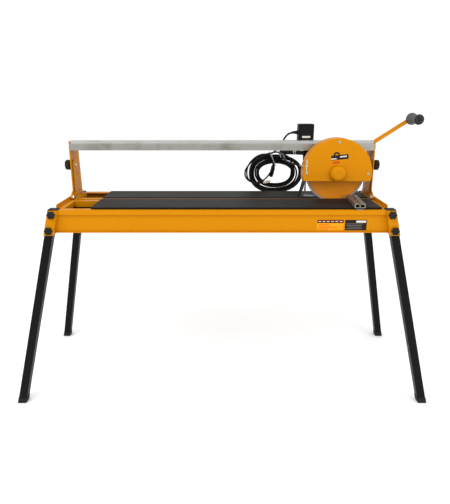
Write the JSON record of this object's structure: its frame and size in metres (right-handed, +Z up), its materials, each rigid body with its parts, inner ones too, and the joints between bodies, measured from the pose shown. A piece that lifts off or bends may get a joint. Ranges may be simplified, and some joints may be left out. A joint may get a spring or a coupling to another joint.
{
  "type": "electric bridge tile cutter",
  "caption": "Electric wet tile cutter: a motor head with a guarded diamond blade rolls along an aluminium bridge rail over a rubber-topped table on splayed legs.",
  "frame": {"origin": "on the floor under the centre of the frame, midway between the four feet", "axes": "+X along the cut, towards the handle; +Y towards the back, away from the user; +Z up"},
  "size_m": [1.666, 0.642, 1.13],
  "materials": {
    "orange_paint": "semi-gloss orange powder coat",
    "black_paint": "satin black powder coat",
    "motor_paint": "satin black paint over cast aluminium",
    "black_plastic": "moulded plastic, fine texture",
    "knob_plastic": "moulded phenolic, slight sheen",
    "switch_plastic": "moulded plastic",
    "mat_rubber": "fine grained rubber",
    "grip_rubber": "soft rubber",
    "aluminium": "mill-finish extrusion",
    "zinc_steel": "zinc plated",
    "blade_finish": "painted steel core with a bare diamond rim",
    "roller_nylon": "turned nylon",
    "green_plastic": "glossy",
    "red_plastic": "glossy",
    "lead_rubber": "rubber sheathed lead",
    "hose_vinyl": "translucent grey hose",
    "fitting_plastic": "pale moulded plastic"
  },
  "bodies": {
    "frame": {"front_rail": "orange_paint", "rear_rail": "orange_paint", "left_end_rail": "orange_paint", "right_end_rail": "orange_paint", "middle_rails": "orange_paint", "water_tray": "black_plastic", "tray_plug": "black_plastic", "water_pump": "black_plastic", "leg_sockets": "orange_paint", "front_left_leg": "black_paint", "front_right_leg": "black_paint", "rear_left_leg": "black_paint", "rear_right_leg": "black_paint", "leg_end_caps": "black_plastic", "table_plates": "black_paint", "table_mats": "mat_rubber", "uprights": "orange_paint", "frame_bolts": "zinc_steel"},
    "bridge": {"guide_rail": "aluminium", "left_tilt_plate": "orange_paint", "right_tilt_plate": "orange_paint", "rail_screws": "zinc_steel"},
    "head": {"carriage_plate": "black_paint", "motor_housing": "motor_paint", "fan_cover": "black_plastic", "blade_guard": "orange_paint", "guard_back_plate": "orange_paint", "arbor_cap": "orange_paint", "head_screws": "zinc_steel", "splash_flap": "mat_rubber", "handle_arm": "orange_paint", "handle_grip": "grip_rubber", "switch_box": "switch_plastic", "cable_gland": "black_plastic", "cable_hanger": "black_paint", "cable_ties": "fitting_plastic", "mains_lead": "lead_rubber", "lead_coil": "lead_rubber", "mains_plug": "lead_rubber", "water_hose": "hose_vinyl", "hose_fittings": "fitting_plastic"},
    "rotor": {"blade": "blade_finish", "blade_arbor": "zinc_steel"},
    "left_roller": {"left_roller": "roller_nylon"},
    "right_roller": {"right_roller": "roller_nylon"},
    "start_button": {"start_button": "green_plastic"},
    "stop_button": {"stop_button": "red_plastic"},
    "switch_flap": {"switch_flap": "switch_plastic"},
    "fence": {"fence": "aluminium"},
    "left_bevel_knob": {"left_bevel_knob": "knob_plastic"},
    "right_bevel_knob": {"right_bevel_knob": "knob_plastic"},
    "front_left_upper_knob": {"front_left_upper_knob": "black_plastic"},
    "front_left_lower_knob": {"front_left_lower_knob": "black_plastic"},
    "front_right_upper_knob": {"front_right_upper_knob": "black_plastic"},
    "front_right_lower_knob": {"front_right_lower_knob": "black_plastic"},
    "rear_left_upper_knob": {"rear_left_upper_knob": "black_plastic"},
    "rear_left_lower_knob": {"rear_left_lower_knob": "black_plastic"},
    "rear_right_upper_knob": {"rear_right_upper_knob": "black_plastic"},
    "rear_right_lower_knob": {"rear_right_lower_knob": "black_plastic"}
  },
  "joints": [
    {"name": "bridge_tilt", "type": "hinge", "parent": "frame", "child": "bridge", "pos_m": [0, 0.01075, 0.786], "axis": [1, 0, 0], "range_deg": [0, 45]},
    {"name": "head_slide", "type": "slide", "parent": "bridge", "child": "head", "axis": [1, 0, 0], "range_m": [-0.93, 0]},
    {"name": "blade_spin", "type": "hinge", "parent": "head", "child": "rotor", "pos_m": [0.474, 0.01075, 0.893], "axis": [0, 1, 0], "continuous": true},
    {"name": "left_roller_spin", "type": "hinge", "parent": "head", "child": "left_roller", "pos_m": [0.41, 0.1035, 0.998], "axis": [0, 1, 0], "continuous": true},
    {"name": "right_roller_spin", "type": "hinge", "parent": "head", "child": "right_roller", "pos_m": [0.596, 0.1035, 0.998], "axis": [0, 1, 0], "continuous": true},
    {"name": "start_button_press", "type": "slide", "parent": "head", "child": "start_button", "axis": [0, 1, 0], "range_m": [0, 0.0025], "stiffness_N_per_m": 400},
    {"name": "stop_button_press", "type": "slide", "parent": "head", "child": "stop_button", "axis": [0, 1, 0], "range_m": [0, 0.0025], "stiffness_N_per_m": 400},
    {"name": "switch_flap_hinge", "type": "hinge", "parent": "head", "child": "switch_flap", "pos_m": [0.362, 0.1142, 1.0792], "axis": [-1, 0, 0], "range_deg": [0, 120]},
    {"name": "fence_slide", "type": "slide", "parent": "frame", "child": "fence", "axis": [1, 0, 0], "range_m": [-0.95, 0.045]},
    {"name": "left_bevel_knob_turn", "type": "hinge", "parent": "frame", "child": "left_bevel_knob", "pos_m": [-0.65, 0.075, 0.915], "axis": [-1, 0, 0], "continuous": true},
    {"name": "right_bevel_knob_turn", "type": "hinge", "parent": "frame", "child": "right_bevel_knob", "pos_m": [0.65, 0.075, 0.915], "axis": [1, 0, 0], "continuous": true},
    {"name": "front_left_upper_knob_turn", "type": "hinge", "parent": "frame", "child": "front_left_upper_knob", "pos_m": [-0.65421, -0.21479, 0.759], "axis": [0, -0.9901, 0.1405], "continuous": true},
    {"name": "front_left_lower_knob_turn", "type": "hinge", "parent": "frame", "child": "front_left_lower_knob", "pos_m": [-0.66717, -0.22345, 0.698], "axis": [0, -0.9901, 0.1405], "continuous": true},
    {"name": "front_right_upper_knob_turn", "type": "hinge", "parent": "frame", "child": "front_right_upper_knob", "pos_m": [0.65421, -0.21479, 0.759], "axis": [0, -0.9901, 0.1405], "continuous": true},
    {"name": "front_right_lower_knob_turn", "type": "hinge", "parent": "frame", "child": "front_right_lower_knob", "pos_m": [0.66717, -0.22345, 0.698], "axis": [0, -0.9901, 0.1405], "continuous": true},
    {"name": "rear_left_upper_knob_turn", "type": "hinge", "parent": "frame", "child": "rear_left_upper_knob", "pos_m": [-0.65421, 0.21479, 0.759], "axis": [0, 0.9901, 0.1405], "continuous": true},
    {"name": "rear_left_lower_knob_turn", "type": "hinge", "parent": "frame", "child": "rear_left_lower_knob", "pos_m": [-0.66717, 0.22345, 0.698], "axis": [0, 0.9901, 0.1405], "continuous": true},
    {"name": "rear_right_upper_knob_turn", "type": "hinge", "parent": "frame", "child": "rear_right_upper_knob", "pos_m": [0.65421, 0.21479, 0.759], "axis": [0, 0.9901, 0.1405], "continuous": true},
    {"name": "rear_right_lower_knob_turn", "type": "hinge", "parent": "frame", "child": "rear_right_lower_knob", "pos_m": [0.66717, 0.22345, 0.698], "axis": [0, 0.9901, 0.1405], "continuous": true}
  ],
  "couplings": [
    {"joint": "left_roller_spin", "follows": "head_slide", "rad_per_m": 76.923},
    {"joint": "right_roller_spin", "follows": "head_slide", "rad_per_m": 76.923}
  ]
}
